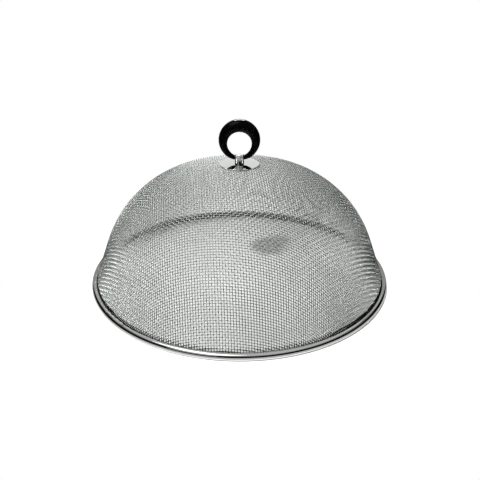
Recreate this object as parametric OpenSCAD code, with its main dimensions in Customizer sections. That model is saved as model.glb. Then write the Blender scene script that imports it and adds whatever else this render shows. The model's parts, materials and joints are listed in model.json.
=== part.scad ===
// Buffet food cover: a woven wire dome in a rolled steel rim, lifted by a ring on a post.
// Millimetres. The origin is the centre of the rim's resting face, +Z is up and -Y is the front.

/* [Rim] */
// Outside diameter of the cover at its rim
rim_d = 300; // [260:1:330]
// Outside diameter of the rolled rim bead
bead_d = 7; // [6:0.1:9]
// Sheet thickness of the rolled rim strip
bead_t = 0.6; // [0.4:0.05:0.8]
// Width of the flat ring that the bead stands on
bead_flat_w = 2.3; // [1.5:0.1:3]
// Diameter of the hoop inside the bead
core_d = 2.4; // [1.6:0.1:2.6]

/* [Wire dome] */
// Height of the cloth's middle surface at the crown
dome_h = 117; // [105:0.5:130]
// Diameter of one wire of the cloth
wire_d = 0.7; // [0.4:0.05:0.8]
// Spacing of the wires in the real cloth
wire_pitch = 2.37; // [2:0.01:3]
// Openings across the cloth each way, far fewer than the real weave has
cloth_cells = 17; // [11:2:17]
// Crown arc radius as a share of the rim diameter
crown_share = 0.667; // [0.6:0.001:0.75]
// Angle from the axis at which the crown arc gives way to the shoulder arc
crown_deg = 17; // [14:0.5:22]
// Shoulder arc radius as a share of the rim diameter
shoulder_share = 0.376; // [0.36:0.001:0.385]
// How far inside the bead's centre circle the cloth enters the bead
skirt_inset = 2.3; // [2:0.1:2.6]
// Length of cloth tucked into the bead
skirt_tuck = 5.4; // [4.5:0.1:5.6]

/* [Handle plates] */
// Diameter of the polished plate on top of the cloth
plate_d = 38.4; // [30:0.1:50]
// Thickness of the top plate
plate_t = 1; // [0.6:0.1:1.5]
// Diameter of the backing plate under the cloth
back_d = 30; // [20:0.5:40]
// Thickness of the backing plate
back_t = 1; // [0.6:0.1:1.5]

/* [Post and fixing] */
// Diameter of the collar at the foot of the post
collar_d = 8.8; // [7:0.1:12]
// Height of the collar
collar_h = 2.3; // [1.5:0.1:4]
// Diameter of the post
post_d = 8.3; // [7.5:0.1:10]
// Height of the post above the collar
post_h = 5.8; // [5.2:0.1:7]
// Chamfer round the top of the post
post_chamfer = 0.5; // [0.2:0.1:0.8]
// Diameter of the stud that goes down through the plates
stud_d = 4; // [3:0.5:5]
// Length of stud showing past the nut
stud_past = 1.2; // [0.5:0.1:3]
// Outside diameter of the split lock washer
washer_d = 7.4; // [7.2:0.1:9]
// Thickness of the lock washer
washer_t = 1; // [0.6:0.1:1.4]
// Angle of the lock washer's split
washer_split_deg = 16; // [8:1:25]
// Width across the flats of the nut
nut_af = 7; // [6.8:0.1:9]
// Height of the nut
nut_h = 3.2; // [2:0.1:5]

/* [Ring] */
// Outside width of the ring
ring_w = 38.5; // [34:0.5:50]
// Tube diameter at the top of the ring
tube_top_d = 11.7; // [9:0.1:13]
// Tube diameter at the foot of the ring
tube_foot_d = 4.4; // [4:0.05:4.6]
// Diameter of the two pivot pins
pin_d = 3.8; // [3:0.05:3.8]
// Height of the pivot above the collar
pivot_up = 2.75; // [2.6:0.05:3]
// Gap between the ring's shoulders and the post
side_gap = 0.45; // [0.35:0.05:0.8]

/* [Clearances] */
// Gap between the cloth and the parts that grip it
seat_gap = 0.05; // [0.03:0.01:0.1]
// Radial clearance of the pivot pins in the post
pin_gap = 0.05; // [0.02:0.01:0.1]
// Radial clearance of the holes round the stud
stud_gap = 0.1; // [0.05:0.05:0.3]
// Half of the gap left between the two pivot pins
pin_space = 0.4; // [0.2:0.1:0.8]

/* [Hidden] */
$fn = 96;

// Cloth: the middle surface is a crown arc, a shoulder arc and a straight skirt, each tangent to the next.
mesh_t = 2 * wire_d;
crown_r = crown_share * rim_d;
crown_z = dome_h - crown_r;
shoulder_r = shoulder_share * rim_d;
shoulder_c = [0, crown_z] + (crown_r - shoulder_r) * out_dir(crown_deg);
bead_r = bead_d / 2;
bead_c = [rim_d / 2 - bead_r, sqrt(bead_r * bead_r - bead_flat_w * bead_flat_w / 4)];
bead_in_r = bead_r - bead_t;
skirt_p = [bead_c.x - skirt_inset, bead_c.y + bead_r];
skirt_v = skirt_p - shoulder_c;
skirt_deg = atan2(skirt_v.x, skirt_v.y) - acos(shoulder_r / norm(skirt_v));
skirt_out = out_dir(skirt_deg);
skirt_down = [skirt_out.y, -skirt_out.x];
skirt_end = skirt_p + skirt_tuck * skirt_down;
skirt_top = shoulder_c + shoulder_r * skirt_out;
crown_len = crown_r * crown_deg * PI / 180;
shoulder_len = shoulder_r * (skirt_deg - crown_deg) * PI / 180;
cloth_len = crown_len + shoulder_len + norm(skirt_end - skirt_top);

// Openings: as open as the real cloth. The inner skin is drawn in by a facet's height over the crown.
open_share = 1 - wire_d / wire_pitch;
facet_drop = crown_r * (1 - cos(cloth_len / cloth_cells / crown_r * 180 / PI));

// Hoop inside the bead: it lies against the cloth's outer face, level with the bead's centre.
bead_off = (bead_c - skirt_p) * skirt_out;
core_c = bead_c + (mesh_t / 2 + seat_gap + core_d / 2 - bead_off) * skirt_out;

// Handle stack, from the cloth's crown upward and downward.
plate_in_r = crown_r + mesh_t / 2 + seat_gap;
plate_out_r = plate_in_r + plate_t;
collar_z = crown_z + plate_out_r;
post_z = collar_z + collar_h;
pivot_z = post_z + pivot_up;
back_out_r = crown_r - mesh_t / 2 - seat_gap;
back_in_r = back_out_r - back_t;
washer_z = crown_z + sqrt(back_in_r * back_in_r - washer_d * washer_d / 4) - seat_gap;
nut_z = washer_z - washer_t - seat_gap;
stud_end_z = nut_z - nut_h - stud_past;
hole_r = stud_d / 2 + stud_gap;

// Ring: a tube whose radius grows from the foot to the top, on a circle in the X-Z plane.
ring_r = ring_w / 2 - (tube_top_d + tube_foot_d) / 4;
shoulder_x = post_d / 2 + side_gap;
foot_deg = asin(shoulder_x / ring_r);
ring_z = pivot_z + ring_r * cos(foot_deg);
ring_steps = 56;
tube_sides = 20;
turn_deg = 24;

// Unit vector in the profile plane, at an angle from the axis.
function out_dir(a) = [sin(a), cos(a)];

// Tube radius at an angle from the foot of the ring.
function tube_r(a) = (tube_top_d + tube_foot_d) / 4 - (tube_top_d - tube_foot_d) / 4 * cos(a);

// Tilt of the tube's section: upright at the shoulders, square to the ring beyond them.
function tilt(a) = a > 180 ? 360 - tilt(360 - a) : a * min(1, (a - foot_deg) / turn_deg);

// One point on the ring's skin.
function ring_point(a, b) = [
    ring_r * sin(a) + tube_r(a) * cos(b) * sin(tilt(a)),
    tube_r(a) * sin(b),
    ring_z - ring_r * cos(a) - tube_r(a) * cos(b) * cos(tilt(a))
];

// Point of the cloth's section at a length from the crown, moved outward by an offset.
function section_point(length, off) =
    length < crown_len ? [0, crown_z] + (crown_r + off) * out_dir(length / crown_r * 180 / PI) :
    length < crown_len + shoulder_len ?
        shoulder_c + (shoulder_r + off) * out_dir(crown_deg + (length - crown_len) / shoulder_r * 180 / PI) :
    skirt_top + (length - crown_len - shoulder_len) * skirt_down + off * skirt_out;

// Point of the cloth at a place in the square from -1 to 1, whose sides are bowed out to the round rim.
function cloth_point(x, y, off) =
    let (bowed = [x * sqrt(1 - y * y / 2), y * sqrt(1 - x * x / 2)],
        way = bowed / norm(bowed),
        p = section_point(cloth_len * norm(bowed), off))
    [p.x * way.x, p.x * way.y, p.y];

// Numbers of the cloth's points: crossings of the grid lines, then four corners for each opening.
function crossing(i, j) = i * (cloth_cells + 1) + j;
function opening(i, j, k) = pow(cloth_cells + 1, 2) + 4 * (i * cloth_cells + j) + k;

// Sector of the profile plane between two angles from the axis direction.
module sector(c, a, b, reach) {
    polygon([c, c + reach * out_dir(a), c + reach * out_dir((a + b) / 2) * 1.2, c + reach * out_dir(b)]);
}

// Band between two circles about one centre, cut to a sector.
module arc_band(c, r_in, r_out, a, b) {
    intersection() {
        translate(c) difference() {
            circle(r = r_out);
            circle(r = r_in);
        }
        sector(c, a, b, 1.5 * r_out);
    }
}

// Profile of a shallow round plate that follows the crown, with a rounded edge.
module plate_profile(d, r_in, r_out) {
    t = r_out - r_in;
    edge_deg = asin((d - t) / 2 / (r_in + t / 2));
    difference() {
        union() {
            arc_band([0, crown_z], r_in, r_out, 0, edge_deg);
            translate([0, crown_z] + (r_in + t / 2) * out_dir(edge_deg)) circle(r = t / 2);
        }
        translate([0, crown_z]) square([hole_r, r_out + 1]);
    }
}

// Wire cloth, as a sheet that encloses its weave, with fewer and larger openings.
module mesh_dome() {
    n = cloth_cells;
    side = (1 - open_share) / 2;
    corners = [[0, 0], [1, 0], [1, 1], [0, 1]];
    spots = concat(
        [for (i = [0 : n]) for (j = [0 : n]) [i, j]],
        [for (i = [0 : n - 1]) for (j = [0 : n - 1]) for (c = corners) [i + side, j + side] + open_share * c]
    );
    under = len(spots);
    lower = under * [1, 1, 1];
    points = [for (off = [mesh_t / 2, facet_drop - mesh_t / 2]) for (s = spots)
        cloth_point(2 * s.x / n - 1, 2 * s.y / n - 1, off)];
    bars = [for (i = [0 : n - 1]) for (j = [0 : n - 1]) for (k = [0 : 3])
        let (from = corners[k], to = corners[(k + 1) % 4])
        [crossing(i + from.x, j + from.y), crossing(i + to.x, j + to.y),
            opening(i, j, (k + 1) % 4), opening(i, j, k)]];
    edges = [for (i = [0 : n - 1]) each [
        [crossing(i, 0), crossing(i + 1, 0)],
        [crossing(n, i), crossing(n, i + 1)],
        [crossing(i + 1, n), crossing(i, n)],
        [crossing(0, i + 1), crossing(0, i)]
    ]];
    faces = concat(
        [for (b = bars) each [[b[0], b[2], b[1]], [b[0], b[3], b[2]]]],
        [for (b = bars) each [[b[0], b[1], b[2]] + lower, [b[0], b[2], b[3]] + lower]],
        [for (b = bars) each [[b[3], b[3] + under, b[2]], [b[2], b[3] + under, b[2] + under]]],
        [for (e = edges) each [[e[0], e[1], e[0] + under], [e[1], e[1] + under, e[0] + under]]]
    );
    color([0.70, 0.73, 0.71]) polyhedron(points, faces);
}

// Rolled strip, open at the top where it grips the cloth and flat underneath.
module rim_bead() {
    grip = mesh_t / 2 + seat_gap;
    color([0.80, 0.81, 0.80]) rotate_extrude() {
        difference() {
            translate(bead_c) circle(r = bead_r);
            translate(bead_c) circle(r = bead_in_r);
            translate([bead_c.x - bead_r, -bead_d]) square([bead_d, bead_d]);
            polygon([
                skirt_p - bead_d * skirt_down + grip * skirt_out,
                skirt_p + bead_in_r * skirt_down + grip * skirt_out,
                skirt_p + bead_in_r * skirt_down - grip * skirt_out,
                skirt_p - bead_d * skirt_down - grip * skirt_out
            ]);
        }
    }
}

// Round hoop inside the bead that the cloth is clamped against.
module rim_core() {
    color([0.62, 0.63, 0.63]) rotate_extrude() translate(core_c) circle(d = core_d);
}

// Polished plate on top of the cloth.
module cap_plate() {
    color([0.84, 0.86, 0.85]) rotate_extrude() plate_profile(plate_d, plate_in_r, plate_out_r);
}

// Plate under the cloth that spreads the pull of the handle.
module backing_plate() {
    color([0.74, 0.75, 0.75]) rotate_extrude() plate_profile(back_d, back_in_r, back_out_r);
}

// Turned collar between the top plate and the post.
module post_collar() {
    color([0.78, 0.79, 0.79]) difference() {
        translate([0, 0, collar_z]) cylinder(d = collar_d, h = collar_h);
        translate([0, 0, collar_z - 1]) cylinder(r = hole_r, h = collar_h + 2);
    }
}

// Post with the cross hole for the ring's pins and a stud below.
module handle_post() {
    r = post_d / 2;
    color([0.82, 0.83, 0.83]) difference() {
        rotate_extrude() polygon([
            [0, stud_end_z],
            [stud_d / 2, stud_end_z],
            [stud_d / 2, post_z],
            [r, post_z],
            [r, post_z + post_h - post_chamfer],
            [r - post_chamfer, post_z + post_h],
            [0, post_z + post_h]
        ]);
        translate([0, 0, pivot_z]) rotate([0, 90, 0])
            cylinder(d = pin_d + 2 * pin_gap, h = 2 * post_d, center = true);
    }
}

// Split spring washer under the backing plate.
module lock_washer() {
    color([0.66, 0.67, 0.68]) rotate_extrude(angle = 360 - washer_split_deg)
        translate([hole_r, washer_z - washer_t]) square([washer_d / 2 - hole_r, washer_t]);
}

// Hexagon nut on the stud.
module fixing_nut() {
    color([0.70, 0.71, 0.72]) difference() {
        translate([0, 0, nut_z - nut_h]) cylinder(d = nut_af / cos(30), h = nut_h, $fn = 6);
        translate([0, 0, nut_z - nut_h - 1]) cylinder(r = hole_r, h = nut_h + 2);
    }
}

// Tapered ring with two pivot pins that spring into the post.
module ring_handle() {
    span = 360 - 2 * foot_deg;
    points = [for (i = [0 : ring_steps]) for (j = [0 : tube_sides - 1])
        ring_point(foot_deg + span * i / ring_steps, 360 * j / tube_sides)];
    near = [for (i = [0 : ring_steps - 1]) for (j = [0 : tube_sides - 1])
        let (next = (j + 1) % tube_sides)
        [i * tube_sides + j, (i + 1) * tube_sides + j, i * tube_sides + next]];
    far = [for (i = [1 : ring_steps]) for (j = [0 : tube_sides - 1])
        let (next = (j + 1) % tube_sides)
        [i * tube_sides + j, i * tube_sides + next, (i - 1) * tube_sides + next]];
    first = [[for (j = [0 : tube_sides - 1]) j]];
    last = [[for (j = [tube_sides - 1 : -1 : 0]) ring_steps * tube_sides + j]];
    color([0.05, 0.05, 0.055]) union() {
        polyhedron(points, concat(near, far, first, last));
        for (side = [0, 180]) rotate([0, 0, side]) translate([pin_space, 0, pivot_z]) rotate([0, 90, 0])
            cylinder(d = pin_d, h = shoulder_x + 0.4 - pin_space);
    }
}

mesh_dome();
rim_bead();
rim_core();
cap_plate();
post_collar();
handle_post();
ring_handle();
backing_plate();
lock_washer();
fixing_nut();
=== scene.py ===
"""Looks of a buffet food cover: a dome of woven wire in a rolled rim, lifted by a black ring.

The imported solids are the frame. The cloth is drawn wire by wire over the dome's section and the ring
is drawn smooth; the other pieces keep their solids and get their finish here. All sizes are metres.
The studio round the cover is what its metal mirrors, estimated from the photograph's tones.
"""

import json
import math

import bpy
import numpy as np
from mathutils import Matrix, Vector


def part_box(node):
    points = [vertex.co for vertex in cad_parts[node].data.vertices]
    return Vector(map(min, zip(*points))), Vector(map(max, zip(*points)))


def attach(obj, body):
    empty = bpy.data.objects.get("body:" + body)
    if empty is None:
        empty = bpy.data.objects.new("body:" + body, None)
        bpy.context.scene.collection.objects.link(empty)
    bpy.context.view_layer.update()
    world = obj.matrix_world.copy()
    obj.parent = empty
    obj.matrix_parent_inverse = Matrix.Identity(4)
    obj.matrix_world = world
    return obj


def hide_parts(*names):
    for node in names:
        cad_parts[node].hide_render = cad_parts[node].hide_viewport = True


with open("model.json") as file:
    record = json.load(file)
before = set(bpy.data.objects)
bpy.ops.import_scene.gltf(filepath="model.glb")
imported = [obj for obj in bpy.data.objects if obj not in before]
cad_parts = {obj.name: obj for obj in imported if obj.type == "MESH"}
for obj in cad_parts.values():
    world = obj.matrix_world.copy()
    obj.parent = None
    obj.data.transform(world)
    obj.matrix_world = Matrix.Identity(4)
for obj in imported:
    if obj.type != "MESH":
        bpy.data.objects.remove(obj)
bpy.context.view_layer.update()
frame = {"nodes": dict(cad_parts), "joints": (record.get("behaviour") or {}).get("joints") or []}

# Dome section: a crown arc, a shoulder arc that leaves it smoothly, and a straight skirt
RIM_D = 0.300
DOME_H = 0.117
CROWN_SHARE = 0.667
CROWN_R = CROWN_SHARE * RIM_D
CROWN_ANGLE = math.radians(17)
SHOULDER_SHARE = 0.376
SHOULDER_R = SHOULDER_SHARE * RIM_D
BEAD_R = 0.0035
BEAD_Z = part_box("rim_bead")[1].z - BEAD_R
SKIRT_INSET = 0.0023
CROWN_Z = DOME_H - CROWN_R
SHOULDER_C = np.array([
    (CROWN_R - SHOULDER_R) * math.sin(CROWN_ANGLE),
    CROWN_Z + (CROWN_R - SHOULDER_R) * math.cos(CROWN_ANGLE),
])
SKIRT_P = np.array([RIM_D / 2 - BEAD_R - SKIRT_INSET, BEAD_Z + BEAD_R])
SKIRT_REACH = SKIRT_P - SHOULDER_C
SKIRT_ANGLE = math.atan2(*SKIRT_REACH) - math.acos(SHOULDER_R / np.hypot(*SKIRT_REACH))
SKIRT_OUT = np.array([math.sin(SKIRT_ANGLE), math.cos(SKIRT_ANGLE)])
SKIRT_DOWN = np.array([math.cos(SKIRT_ANGLE), -math.sin(SKIRT_ANGLE)])
SKIRT_TOP = SHOULDER_C + SHOULDER_R * SKIRT_OUT

# Cloth: a plain weave whose wires bend over and under each other, from the bead's hollow to the stud's hole
WIRE_D = 0.0007
WARP_PITCH = 0.002395
WEFT_PITCH = 0.00234
WARP_WAY = math.radians(95)
WEFT_WAY = math.radians(-8)
CLOTH_END_Z = 0.0026
STUD_CLEAR_R = 0.0023
WIRE_SIDES = 6
# Each family of wires is shown in several pieces, which keeps their meshes moderate
WIRE_GROUPS = 3
# Half a wire before it is cut at the rim; it only has to be longer than the dome's section
WIRE_REACH = math.pi * RIM_D / 4
# Rounds of Newton's method for one crossing, the slope at which it gives up, and the miss it may leave
CROSSING_ROUNDS = 8
LEAST_SLOPE = 1e-3
LARGEST_MISS = 1e-6
# Keeps the direction outward from the axis defined on the axis itself
LEAST_RADIUS = 1e-9

# Finishes: pale and dull tone, least and most roughness, and how fine the marks of handling are
FINISHES = {
    "rim_polished_steel": ((0.74, 0.75, 0.735), (0.66, 0.67, 0.655), (0.03, 0.07), 45),
    "plate_polished_steel": ((0.65, 0.68, 0.65), (0.56, 0.585, 0.56), (0.05, 0.12), 90),
    "post_chrome": ((0.84, 0.85, 0.84), (0.76, 0.77, 0.76), (0.08, 0.16), 160),
    "collar_chrome": ((0.72, 0.73, 0.72), (0.6, 0.61, 0.6), (0.06, 0.12), 160),
    "hoop_steel": ((0.55, 0.55, 0.54), (0.42, 0.42, 0.41), (0.3, 0.5), 80),
    "backing_steel": ((0.66, 0.67, 0.66), (0.55, 0.56, 0.55), (0.2, 0.35), 90),
    "fastener_steel": ((0.62, 0.63, 0.62), (0.5, 0.51, 0.5), (0.22, 0.4), 240),
    "wire_drawn_steel": ((0.86, 0.89, 0.865), (0.78, 0.81, 0.78), (0.13, 0.18), 300),
    "ring_gloss_black": ((0.0012, 0.0012, 0.0014), (0.003, 0.003, 0.0032), (0.02, 0.05), 120),
}
POST_METALLIC = 0.78
RING_SPECULAR = 0.08

# Marks of handling: soft smudges, and hairlines stretched and turned across the surface
MARK_SCALE = 60
SMUDGE_DETAIL = 3
HAIRLINE_DETAIL = 4
HAIRLINE_STRETCH = (1, 14, 5)
HAIRLINE_TURN = (0.4, 0.7, 0.5)
HAIRLINE_SPAN = (0.52, 0.72)

# Painted shade: a dark line painted on the wires where the cloth enters the bead, and the bead's inner side
# painted dark
# The near-black colour of the painted shade on the wires and on the bead's inner side
PAINTED_SHADE_COLOUR = (0.02, 0.02, 0.018)
JOINT_SHADE_SPAN = (SKIRT_P[1] + 0.0017, SKIRT_P[1] + 0.0021)
INNER_SPAN = (SKIRT_P[0] + 0.0006, SKIRT_P[0] + 0.0010)

# Ring: thick at the top, thin at the feet that turn in to the post
RING_W = 0.0385
TUBE_TOP_D = 0.0117
TUBE_FOOT_D = 0.0044
PIN_D = 0.0038
PIN_START = 0.0004
SIDE_GAP = 0.00045
TURN_ANGLE = math.radians(24)
RING_STEPS = 144
RING_SIDES = 40

# Camera that the photograph's outline gives, for an image of 480 by 480 pixels
IMAGE_PX = 480
FOCAL_PX = 553.3
CAMERA_DISTANCE = 0.580
CAMERA_ELEVATION = math.radians(29.24)
ORIGIN_PX = (239.4, 272.3)
SENSOR = 36.0

# Room: pale paint, which turns plain white over these spans, for the camera and in reflections
FLOOR_R = 2.4
SWEEP_R = 0.6
SWEEP_STEPS = 11
WALL_H = 3.0
ROOM_STEPS = 96
ROOM_COLOUR = (0.92, 0.92, 0.92)
ROOM_ROUGHNESS = 0.9
WHITE_SPAN = (0.152, 0.24)
MIRRORED_SPAN = (0.5, 0.9)

# Cards that only the metal sees: mats on the floor and curtains round the cover, with an opening behind it.
# The near mat by the rim is painted shade, a grey card for the floor's shade round the rim.
MAT_SPAN = (math.radians(-152), math.radians(164))
NEAR_MAT_R = 0.1515
DARK_MAT_R = 0.18
MAT_Z = 0.0005
CURTAIN_R = 1.0
CURTAIN_H = 1.2
CARD_STEPS = 48
DARK_LEVEL = 0.005
# Level of the near mat, painted shade for the floor round the rim
NEAR_SHADE_LEVEL = 0.6
# For each curtain the angles it spans from the front, the height of its dark lower part and the level above
CURTAINS = {
    "rear": (math.radians(-172), MAT_SPAN[0], 0.02, 1.2),
    "left": (MAT_SPAN[0], math.radians(-48), 0.58, 0.12),
    "front": (math.radians(-48), math.radians(-15), 0.33, 0.45),
    "right": (math.radians(-15), MAT_SPAN[1], 0.58, 0.18),
}

# Lamps: place, the point they face, width, height, watts, and what they light
LAMPS = {
    "key_lamp": ((-0.52, -0.96, 1.95), (0, 0, 0), 0.15, 0.15, 64, "floor"),
    "soft_box": ((-0.85, -0.66, 1.93), (0, 0, 0), 1.6, 1.6, 17.0, "metal"),
    "left_light": ((-0.60, -0.12, 0.14), (0, 0, 0.05), 0.10, 0.28, 0.75, "cloth"),
    "right_light": ((0.60, -0.13, 0.14), (0, 0, 0.05), 0.10, 0.28, 0.47, "cloth"),
    "rim_fill": ((0, 0, 0.9), (0, 0, 0), 1.9, 1.9, 4.5, "rim"),
    "rim_rear_fill": ((0, 0.6, 0.4), (0, 0, 0.4), 1.5, 0.8, 1.25, "rim"),
    "rear_kicker": ((0, 0.7, 0.84), (0, 0, 0.14), 0.5, 0.2, 20, "ring"),
}
WORLD = (0.17, 0.17, 0.17)


def mesh_object(name, vertices, faces, material):
    """A smooth mesh object from vertices and faces, with one material."""
    mesh = bpy.data.meshes.new(name)
    mesh.from_pydata(vertices, [], faces)
    mesh.polygons.foreach_set("use_smooth", np.ones(len(mesh.polygons), bool))
    mesh.materials.append(material)
    mesh.update()
    piece = bpy.data.objects.new(name, mesh)
    bpy.context.scene.collection.objects.link(piece)
    return piece


def dome_path(length):
    """Radius and height of the dome's section at a length from the crown."""
    crown_end = CROWN_R * CROWN_ANGLE
    shoulder_end = crown_end + SHOULDER_R * (SKIRT_ANGLE - CROWN_ANGLE)
    crown = length / CROWN_R
    shoulder = CROWN_ANGLE + (length - crown_end) / SHOULDER_R
    past = length - shoulder_end
    pick = [length < crown_end, length < shoulder_end]
    radius = np.select(
        pick,
        [CROWN_R * np.sin(crown), SHOULDER_C[0] + SHOULDER_R * np.sin(shoulder)],
        SKIRT_TOP[0] + past * SKIRT_DOWN[0],
    )
    height = np.select(
        pick,
        [CROWN_Z + CROWN_R * np.cos(crown), SHOULDER_C[1] + SHOULDER_R * np.cos(shoulder)],
        SKIRT_TOP[1] + past * SKIRT_DOWN[1],
    )
    return radius, height


def dome_side(points):
    """How far each point lies outside the dome, and the dome's outward direction there."""
    radius = np.hypot(points[..., 0], points[..., 1])
    height = points[..., 2]
    from_crown = np.stack([radius, height - CROWN_Z], -1)
    from_shoulder = np.stack([radius, height], -1) - SHOULDER_C
    crown_h = np.linalg.norm(from_crown, axis=-1)
    shoulder_h = np.linalg.norm(from_shoulder, axis=-1)
    on_crown = np.arctan2(from_crown[..., 0], from_crown[..., 1]) < CROWN_ANGLE
    on_skirt = ~on_crown & (np.arctan2(from_shoulder[..., 0], from_shoulder[..., 1]) > SKIRT_ANGLE)
    outside = np.select([on_crown, on_skirt], [crown_h - CROWN_R, from_shoulder @ SKIRT_OUT - SHOULDER_R],
                        shoulder_h - SHOULDER_R)
    out = from_shoulder / shoulder_h[..., None]
    out[on_crown] = (from_crown / crown_h[..., None])[on_crown]
    out[on_skirt] = SKIRT_OUT
    around = points[..., :2] / np.maximum(radius, LEAST_RADIUS)[..., None]
    return outside, np.concatenate([around * out[..., :1], out[..., 1:]], -1)


def weave_quarter(weft_way, warp_way):
    """Crossings [warp, weft] of the cloth between two directions: each is one pitch from its neighbours."""
    count = int(WIRE_REACH / min(WARP_PITCH, WEFT_PITCH))
    net = np.full((count, count, 3), np.nan)
    radius, height = dome_path(np.arange(count) * WARP_PITCH)
    net[:, 0] = np.stack([radius * math.cos(weft_way), radius * math.sin(weft_way), height], -1)
    radius, height = dome_path(np.arange(count) * WEFT_PITCH)
    net[0, :] = np.stack([radius * math.cos(warp_way), radius * math.sin(warp_way), height], -1)
    for total in range(2, 2 * count - 1):
        warp = np.arange(max(1, total - count + 1), min(count, total))
        weft = total - warp
        before_weft = net[warp, weft - 1]
        before_warp = net[warp - 1, weft]
        place = before_weft + before_warp - net[warp - 1, weft - 1]
        for _ in range(CROSSING_ROUNDS):
            outside, out = dome_side(place)
            along_weft = place - before_weft
            along_warp = place - before_warp
            weft_step = np.linalg.norm(along_weft, axis=-1)
            warp_step = np.linalg.norm(along_warp, axis=-1)
            miss = np.stack([outside, weft_step - WEFT_PITCH, warp_step - WARP_PITCH], -1)
            slope = np.stack([out, along_weft / weft_step[:, None], along_warp / warp_step[:, None]], 1)
            flat = ~(np.abs(np.linalg.det(slope)) > LEAST_SLOPE)
            slope[flat] = np.eye(3)
            miss[flat] = np.nan
            place = place - np.linalg.solve(slope, miss[..., None])[..., 0]
        met = np.abs(miss).max(-1, keepdims=True) < LARGEST_MISS
        net[warp, weft] = np.where(met, place, np.nan)
    return net


def weave_net():
    """Crossings of the whole cloth: two quarters, and the same two turned half round."""
    right = weave_quarter(WEFT_WAY, WARP_WAY)
    left = weave_quarter(WEFT_WAY + math.pi, WARP_WAY)
    half_round = [-1, -1, 1]
    back = np.concatenate([left[:0:-1], right])
    front = np.concatenate([right[:0:-1], left]) * half_round
    return np.concatenate([front[:, :0:-1], back], 1)


def wire_runs(crossings, out, over):
    """The middle line of one wire, in runs that stop at the rim and at the stud's hole."""
    crest = crossings + out * (WIRE_D / 2 * over)[:, None]
    line = np.empty((2 * len(crest) - 1, 3))
    line[::2] = crest
    line[1::2] = (crest[1:] + crest[:-1]) / 2
    outward = np.repeat(out, 2, axis=0)[:-1]
    kept = np.isfinite(line).all(1) & (line[:, 2] > CLOTH_END_Z)
    kept &= np.hypot(line[:, 0], line[:, 1]) > STUD_CLEAR_R
    edges = np.flatnonzero(np.diff(np.concatenate([[0], kept.astype(int), [0]])))
    for start, end in zip(edges[::2], edges[1::2]):
        if end - start > 2:
            yield line[start:end], outward[start:end]


def tube(line, outward, width):
    """Vertices of a round tube along a line, one row for each point."""
    along = np.gradient(line, axis=0)
    along /= np.linalg.norm(along, axis=1, keepdims=True)
    across = np.cross(along, outward)
    across /= np.linalg.norm(across, axis=1, keepdims=True)
    up = np.cross(across, along)
    turn = np.arange(WIRE_SIDES) * 2 * math.pi / WIRE_SIDES
    ring = np.cos(turn)[:, None] * up[:, None] + np.sin(turn)[:, None] * across[:, None]
    return line[:, None] + ring * width / 2


def wire_piece(name, runs, material):
    """One mesh of several wires, each a closed tube."""
    vertices, faces = [], []
    first = 0
    for line, outward in runs:
        rings = tube(line, outward, WIRE_D)
        count = len(rings)
        index = first + np.arange(count * WIRE_SIDES).reshape(count, WIRE_SIDES)
        turned = np.roll(index, -1, 1)
        sides = np.stack([index[:-1], turned[:-1], turned[1:], index[1:]], -1).reshape(-1, 4)
        faces += sides.tolist() + [index[0, ::-1].tolist(), index[-1].tolist()]
        vertices.append(rings.reshape(-1, 3))
        first += count * WIRE_SIDES
    piece = mesh_object(name, np.concatenate(vertices).tolist(), faces, material)
    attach(piece, "cover")
    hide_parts("mesh_dome")


def wire_cloth(material):
    """The dome's cloth: warp wires run front to back and weft wires run across."""
    net = weave_net()
    _, out = dome_side(np.nan_to_num(net))
    count = len(net)
    parity = 1 - 2 * (np.add.outer(np.arange(count), np.arange(count)) % 2)
    warp = [run for i in range(count) for run in wire_runs(net[i], out[i], parity[i])]
    weft = [run for j in range(count) for run in wire_runs(net[:, j], out[:, j], -parity[:, j])]
    for family, runs in (("warp_wires", warp), ("weft_wires", weft)):
        length = np.cumsum([len(line) for line, _ in runs])
        group = np.minimum(length * WIRE_GROUPS // (length[-1] + 1), WIRE_GROUPS - 1)
        for part in range(WIRE_GROUPS):
            wire_piece(f"{family}_{part + 1}", [r for r, g in zip(runs, group) if g == part], material)


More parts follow.
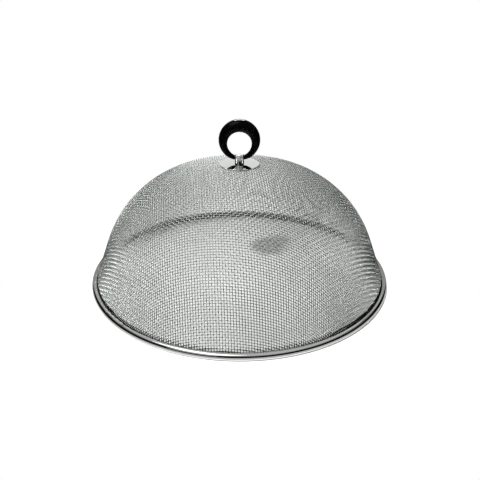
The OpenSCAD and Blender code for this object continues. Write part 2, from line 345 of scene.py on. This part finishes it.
def lifting_ring(material):
    """The ring with its two pins: a tube whose thickness and lean follow the angle from the post."""
    pivot_z = frame["joints"][0]["pos_m"][2]
    ring_r = RING_W / 2 - (TUBE_TOP_D + TUBE_FOOT_D) / 4
    foot_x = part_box("handle_post")[1].x + SIDE_GAP
    foot = math.asin(foot_x / ring_r)
    ring_z = pivot_z + ring_r * math.cos(foot)
    angle = np.linspace(foot, 2 * math.pi - foot, RING_STEPS + 1)
    near = np.minimum(angle, 2 * math.pi - angle)
    lean = near * np.minimum(1, (near - foot) / TURN_ANGLE)
    lean = np.where(angle > math.pi, 2 * math.pi - lean, lean)
    radius = (TUBE_TOP_D + TUBE_FOOT_D) / 4 - (TUBE_TOP_D - TUBE_FOOT_D) / 4 * np.cos(angle)
    middle = np.stack([ring_r * np.sin(angle), 0 * angle, ring_z - ring_r * np.cos(angle)], -1)
    aside = np.stack([np.sin(lean), 0 * lean, -np.cos(lean)], -1)
    pins = []
    for side in (1, -1):
        ends = np.array([[side * PIN_START, 0, pivot_z], [side * foot_x, 0, pivot_z]])
        pins.append((ends, np.array([[0, 0, -1.0]] * 2), np.array([PIN_D / 2] * 2)))
    middle = np.concatenate([pins[0][0], middle, pins[1][0][::-1]])
    aside = np.concatenate([pins[0][1], aside, pins[1][1]])
    radius = np.concatenate([pins[0][2], radius, pins[1][2]])
    turn = np.arange(RING_SIDES) * 2 * math.pi / RING_SIDES
    rings = middle[:, None] + radius[:, None, None] * (
        np.cos(turn)[:, None] * aside[:, None] + np.sin(turn)[:, None] * np.array([0, 1.0, 0])
    )
    count = len(rings)
    index = np.arange(count * RING_SIDES).reshape(count, RING_SIDES)
    turned = np.roll(index, -1, 1)
    faces = np.stack([index[:-1], index[1:], turned[1:], turned[:-1]], -1).reshape(-1, 4).tolist()
    faces += [index[0].tolist(), index[-1, ::-1].tolist()]
    ring = mesh_object("lifting_ring", rings.reshape(-1, 3).tolist(), faces, material)
    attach(ring, "ring")
    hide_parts("ring_handle")
    return ring


def new_material(name):
    """An empty node material with its Principled shader."""
    material = bpy.data.materials.new(name)
    material.use_nodes = True
    nodes = material.node_tree.nodes
    return material, nodes, material.node_tree.links, nodes["Principled BSDF"]


def polish_marks_group():
    """Marks that handling leaves on polished surfaces: soft smudges and fine hairlines."""
    group = bpy.data.node_groups.new("polish_marks", "ShaderNodeTree")
    face = group.interface
    scale = face.new_socket("Scale", in_out="INPUT", socket_type="NodeSocketFloat")
    scale.default_value = MARK_SCALE
    face.new_socket("Smudge", in_out="OUTPUT", socket_type="NodeSocketFloat")
    face.new_socket("Hairline", in_out="OUTPUT", socket_type="NodeSocketFloat")
    nodes, links = group.nodes, group.links
    inputs = nodes.new("NodeGroupInput")
    outputs = nodes.new("NodeGroupOutput")
    place = nodes.new("ShaderNodeTexCoord")
    smudge = nodes.new("ShaderNodeTexNoise")
    smudge.inputs["Detail"].default_value = SMUDGE_DETAIL
    links.new(place.outputs["Object"], smudge.inputs["Vector"])
    links.new(inputs.outputs["Scale"], smudge.inputs["Scale"])
    links.new(smudge.outputs["Fac"], outputs.inputs["Smudge"])
    stretch = nodes.new("ShaderNodeMapping")
    stretch.inputs["Scale"].default_value = HAIRLINE_STRETCH
    stretch.inputs["Rotation"].default_value = HAIRLINE_TURN
    links.new(place.outputs["Object"], stretch.inputs["Vector"])
    hairline = nodes.new("ShaderNodeTexNoise")
    hairline.inputs["Detail"].default_value = HAIRLINE_DETAIL
    links.new(stretch.outputs["Vector"], hairline.inputs["Vector"])
    links.new(inputs.outputs["Scale"], hairline.inputs["Scale"])
    thin = nodes.new("ShaderNodeMapRange")
    thin.inputs["From Min"].default_value = HAIRLINE_SPAN[0]
    thin.inputs["From Max"].default_value = HAIRLINE_SPAN[1]
    links.new(hairline.outputs["Fac"], thin.inputs["Value"])
    links.new(thin.outputs["Result"], outputs.inputs["Hairline"])
    return group


def joint_shade_group():
    """Painted shade: the dark line where the cloth goes into the bead, full at the bead's lips and gone a
    little above them.
    """
    group = bpy.data.node_groups.new("joint_shade", "ShaderNodeTree")
    group.interface.new_socket("Shade", in_out="OUTPUT", socket_type="NodeSocketFloat")
    nodes, links = group.nodes, group.links
    outputs = nodes.new("NodeGroupOutput")
    place = nodes.new("ShaderNodeTexCoord")
    split = nodes.new("ShaderNodeSeparateXYZ")
    links.new(place.outputs["Object"], split.inputs["Vector"])
    spread = nodes.new("ShaderNodeMapRange")
    spread.inputs["From Min"].default_value = JOINT_SHADE_SPAN[0]
    spread.inputs["From Max"].default_value = JOINT_SHADE_SPAN[1]
    spread.inputs["To Min"].default_value = 1
    spread.inputs["To Max"].default_value = 0
    links.new(split.outputs["Z"], spread.inputs["Value"])
    links.new(spread.outputs["Result"], outputs.inputs["Shade"])
    return group


def inner_side_group():
    """Painted shade on the inner side of the rolled strip, set by distance from the dome's axis."""
    group = bpy.data.node_groups.new("inner_side", "ShaderNodeTree")
    group.interface.new_socket("Shade", in_out="OUTPUT", socket_type="NodeSocketFloat")
    nodes, links = group.nodes, group.links
    outputs = nodes.new("NodeGroupOutput")
    place = nodes.new("ShaderNodeTexCoord")
    flat = nodes.new("ShaderNodeVectorMath")
    flat.operation = "MULTIPLY"
    flat.inputs[1].default_value = (1, 1, 0)
    links.new(place.outputs["Object"], flat.inputs[0])
    reach = nodes.new("ShaderNodeVectorMath")
    reach.operation = "LENGTH"
    links.new(flat.outputs["Vector"], reach.inputs[0])
    spread = nodes.new("ShaderNodeMapRange")
    spread.inputs["From Min"].default_value = INNER_SPAN[0]
    spread.inputs["From Max"].default_value = INNER_SPAN[1]
    spread.inputs["To Min"].default_value = 1
    spread.inputs["To Max"].default_value = 0
    links.new(reach.outputs["Value"], spread.inputs["Value"])
    links.new(spread.outputs["Result"], outputs.inputs["Shade"])
    return group


def polished(name, marks, metallic=1.0, specular=0.5, painted_shade=None):
    """A polished finish: its tone and gloss vary with the marks on it; a painted-shade mask, where given,
    darkens its colour.
    """
    pale, dull, roughness, scale = FINISHES[name]
    material, nodes, links, shader = new_material(name)
    shader.inputs["Metallic"].default_value = metallic
    shader.inputs["Specular IOR Level"].default_value = specular
    mark = nodes.new("ShaderNodeGroup")
    mark.node_tree = marks
    mark.inputs["Scale"].default_value = scale
    tone = nodes.new("ShaderNodeMix")
    tone.data_type = "RGBA"
    tone.inputs["A"].default_value = (*pale, 1)
    tone.inputs["B"].default_value = (*dull, 1)
    links.new(mark.outputs["Smudge"], tone.inputs["Factor"])
    links.new(tone.outputs["Result"], shader.inputs["Base Color"])
    # Painted shade: the mask darkens the colour to near black
    if painted_shade:
        spread = nodes.new("ShaderNodeGroup")
        spread.node_tree = painted_shade
        shaded = nodes.new("ShaderNodeMix")
        shaded.data_type = "RGBA"
        shaded.inputs["B"].default_value = (*PAINTED_SHADE_COLOUR, 1)
        links.new(spread.outputs["Shade"], shaded.inputs["Factor"])
        links.new(tone.outputs["Result"], shaded.inputs["A"])
        links.new(shaded.outputs["Result"], shader.inputs["Base Color"])
    gloss = nodes.new("ShaderNodeMapRange")
    gloss.inputs["To Min"].default_value = roughness[0]
    gloss.inputs["To Max"].default_value = roughness[1]
    links.new(mark.outputs["Smudge"], gloss.inputs["Value"])
    scratch = nodes.new("ShaderNodeMath")
    scratch.operation = "MULTIPLY_ADD"
    scratch.inputs[1].default_value = roughness[0]
    links.new(mark.outputs["Hairline"], scratch.inputs[0])
    links.new(gloss.outputs["Result"], scratch.inputs[2])
    links.new(scratch.outputs["Value"], shader.inputs["Roughness"])
    return material


def finish_nodes(marks):
    """Materials for the solids that stay as they are."""
    fastener = polished("fastener_steel", marks)
    worn_by = {
        # The bead's inner side gets painted shade
        "rim_bead": polished("rim_polished_steel", marks, painted_shade=inner_side_group()),
        "cap_plate": polished("plate_polished_steel", marks),
        "post_collar": polished("collar_chrome", marks),
        "handle_post": polished("post_chrome", marks, metallic=POST_METALLIC),
        "rim_core": polished("hoop_steel", marks),
        "backing_plate": polished("backing_steel", marks),
        "lock_washer": fastener,
        "fixing_nut": fastener,
    }
    for node, material in worn_by.items():
        frame["nodes"][node].data.materials[0] = material


def card_material(name, level):
    """A card that only the metal sees, at the level it has there."""
    material, nodes, links, shader = new_material(name)
    glow = nodes.new("ShaderNodeEmission")
    glow.inputs["Strength"].default_value = level
    links.new(glow.outputs["Emission"], nodes["Material Output"].inputs["Surface"])
    nodes.remove(shader)
    material.cycles.emission_sampling = "NONE"
    return material


def room_material():
    """Matte pale paint that is plain white away from the cover, nearer for the camera than in reflections."""
    material, nodes, links, paint = new_material("room_paint")
    paint.inputs["Base Color"].default_value = (*ROOM_COLOUR, 1)
    paint.inputs["Roughness"].default_value = ROOM_ROUGHNESS
    paint.inputs["Specular IOR Level"].default_value = 0.0
    path = nodes.new("ShaderNodeLightPath")
    place = nodes.new("ShaderNodeNewGeometry")
    distance = nodes.new("ShaderNodeVectorMath")
    distance.operation = "LENGTH"
    links.new(place.outputs["Position"], distance.inputs[0])
    share = None
    for ray, span in (("Camera", WHITE_SPAN), ("Glossy", MIRRORED_SPAN), ("Transmission", MIRRORED_SPAN)):
        far = nodes.new("ShaderNodeMapRange")
        far.interpolation_type = "SMOOTHSTEP"
        far.inputs["From Min"].default_value = span[0]
        far.inputs["From Max"].default_value = span[1]
        links.new(distance.outputs["Value"], far.inputs["Value"])
        seen = nodes.new("ShaderNodeMath")
        seen.operation = "MULTIPLY"
        links.new(path.outputs[f"Is {ray} Ray"], seen.inputs[0])
        links.new(far.outputs["Result"], seen.inputs[1])
        if share:
            larger = nodes.new("ShaderNodeMath")
            larger.operation = "MAXIMUM"
            links.new(share.outputs["Value"], larger.inputs[0])
            links.new(seen.outputs["Value"], larger.inputs[1])
            seen = larger
        share = seen
    white = nodes.new("ShaderNodeEmission")
    blend = nodes.new("ShaderNodeMixShader")
    links.new(share.outputs["Value"], blend.inputs["Fac"])
    links.new(paint.outputs["BSDF"], blend.inputs[1])
    links.new(white.outputs["Emission"], blend.inputs[2])
    links.new(blend.outputs["Shader"], nodes["Material Output"].inputs["Surface"])
    material.cycles.emission_sampling = "NONE"
    return material


def lathe(name, section, start, end, steps, material):
    """A stage surface: a section of (radius, height) points turned round the cover between two angles."""
    turn = np.linspace(start, end, steps + 1)
    vertices = [(r * math.sin(t), -r * math.cos(t), z) for t in turn for r, z in section]
    width = len(section)
    faces = [
        (i * width + k, i * width + k + 1, (i + 1) * width + k + 1, (i + 1) * width + k)
        for i in range(steps) for k in range(width - 1)
    ]
    surface = mesh_object(name, vertices, faces, material)
    return surface


def studio_room():
    """A round room whose floor sweeps up into its wall."""
    sweep = np.linspace(0, math.pi / 2, SWEEP_STEPS + 1)[1:]
    section = [(0.0, 0.0), (FLOOR_R, 0.0)]
    section += [(FLOOR_R + SWEEP_R * math.sin(t), SWEEP_R * (1 - math.cos(t))) for t in sweep]
    section += [(FLOOR_R + SWEEP_R, WALL_H)]
    return lathe("studio_room", section, 0, 2 * math.pi, ROOM_STEPS, room_material())


def mirrored_cards():
    """The mats and curtains by name; only mirrored rays see them."""
    dark = card_material("dark_card", DARK_LEVEL)
    near = card_material("near_shade_card", NEAR_SHADE_LEVEL)
    flats = {
        # Painted shade: the near mat is a grey card for the floor's shade round the rim, as the metal mirrors
        # it
        "near_shade_mat": ([(NEAR_MAT_R, MAT_Z), (DARK_MAT_R, MAT_Z)], *MAT_SPAN, near),
        "dark_mat": ([(DARK_MAT_R, MAT_Z), (CURTAIN_R, MAT_Z)], *MAT_SPAN, dark),
    }
    for side, (first, last, dark_h, level) in CURTAINS.items():
        low = [(CURTAIN_R, 0), (CURTAIN_R, dark_h)]
        high = [(CURTAIN_R, dark_h), (CURTAIN_R, CURTAIN_H)]
        flats[f"{side}_low_curtain"] = (low, first, last, dark)
        flats[f"{side}_high_curtain"] = (high, first, last, card_material(f"{side}_card", level))
    cards = {}
    for name, (section, first, last, material) in flats.items():
        card = lathe(name, section, first, last, CARD_STEPS, material)
        card.visible_camera = False
        card.visible_diffuse = False
        card.visible_shadow = False
        cards[name] = card
    return cards


def light_groups(room, ring):
    """For each use of a light, the collection that names the pieces it reaches or leaves out."""
    nodes = frame["nodes"]
    handle = [ring, nodes["handle_post"], nodes["post_collar"]]
    members = {
        "floor": ("INCLUDE", [room, nodes["handle_post"]]),
        "metal": ("EXCLUDE", [room]),
        "cloth": ("EXCLUDE", [room, nodes["rim_bead"], *handle]),
        "rim": ("INCLUDE", [nodes["rim_bead"]]),
        "all_but_rim": ("EXCLUDE", [nodes["rim_bead"]]),
        "ring": ("INCLUDE", [ring]),
    }
    groups = {}
    for use, (state, pieces) in members.items():
        groups[use] = bpy.data.collections.new(f"{use}_lit")
        for piece in pieces:
            groups[use].objects.link(piece)
        for link in groups[use].collection_objects:
            link.light_linking.link_state = state
    return groups


def studio_lamp(name, place, aim, width, height, watts):
    """A rectangular lamp that the camera doesn't see."""
    light = bpy.data.lights.new(name, "AREA")
    light.shape = "RECTANGLE"
    light.size = width
    light.size_y = height
    light.energy = watts
    lamp = bpy.data.objects.new(name, light)
    lamp.location = place
    lamp.rotation_euler = (Vector(aim) - Vector(place)).to_track_quat("-Z", "Y").to_euler()
    lamp.visible_camera = False
    bpy.context.scene.collection.objects.link(lamp)
    return lamp


def studio(ring):
    """The room, the cards, the lamps and an even sky."""
    room = studio_room()
    cards = mirrored_cards()
    groups = light_groups(room, ring)
    # The rim's ends are an even grey, so the rim doesn't see the white wall or the bright card behind it
    for bright in (room, cards["rear_high_curtain"]):
        bright.light_linking.receiver_collection = groups["all_but_rim"]
    for name, (*lamp_sizes, use) in LAMPS.items():
        lamp = studio_lamp(name, *lamp_sizes)
        lamp.visible_glossy = use != "floor"
        lamp.visible_diffuse = use == "floor"
        lamp.light_linking.receiver_collection = groups[use]
    world = bpy.data.worlds.new("studio_world")
    world.use_nodes = True
    world.node_tree.nodes["Background"].inputs["Color"].default_value = (*WORLD, 1)
    world.cycles.sampling_method = "NONE"
    bpy.context.scene.world = world


def camera():
    """The camera at the photograph's viewing angle."""
    data = bpy.data.cameras.new("photo_camera")
    data.sensor_width = SENSOR
    data.lens = FOCAL_PX / IMAGE_PX * SENSOR
    data.shift_x = (IMAGE_PX / 2 - ORIGIN_PX[0]) / IMAGE_PX
    data.shift_y = (ORIGIN_PX[1] - IMAGE_PX / 2) / IMAGE_PX
    eye = bpy.data.objects.new("photo_camera", data)
    back = Vector((0, -math.cos(CAMERA_ELEVATION), math.sin(CAMERA_ELEVATION)))
    eye.location = back * CAMERA_DISTANCE
    eye.rotation_euler = (-back).to_track_quat("-Z", "Y").to_euler()
    bpy.context.scene.collection.objects.link(eye)
    bpy.context.scene.camera = eye


camera()
marks = polish_marks_group()
finish_nodes(marks)
# The wires get painted shade where the cloth enters the bead
wire_cloth(polished("wire_drawn_steel", marks, painted_shade=joint_shade_group()))
ring_finish = polished("ring_gloss_black", marks, metallic=0.0, specular=RING_SPECULAR)
studio(lifting_ring(ring_finish))
bpy.context.scene.view_settings.view_transform = "Standard"
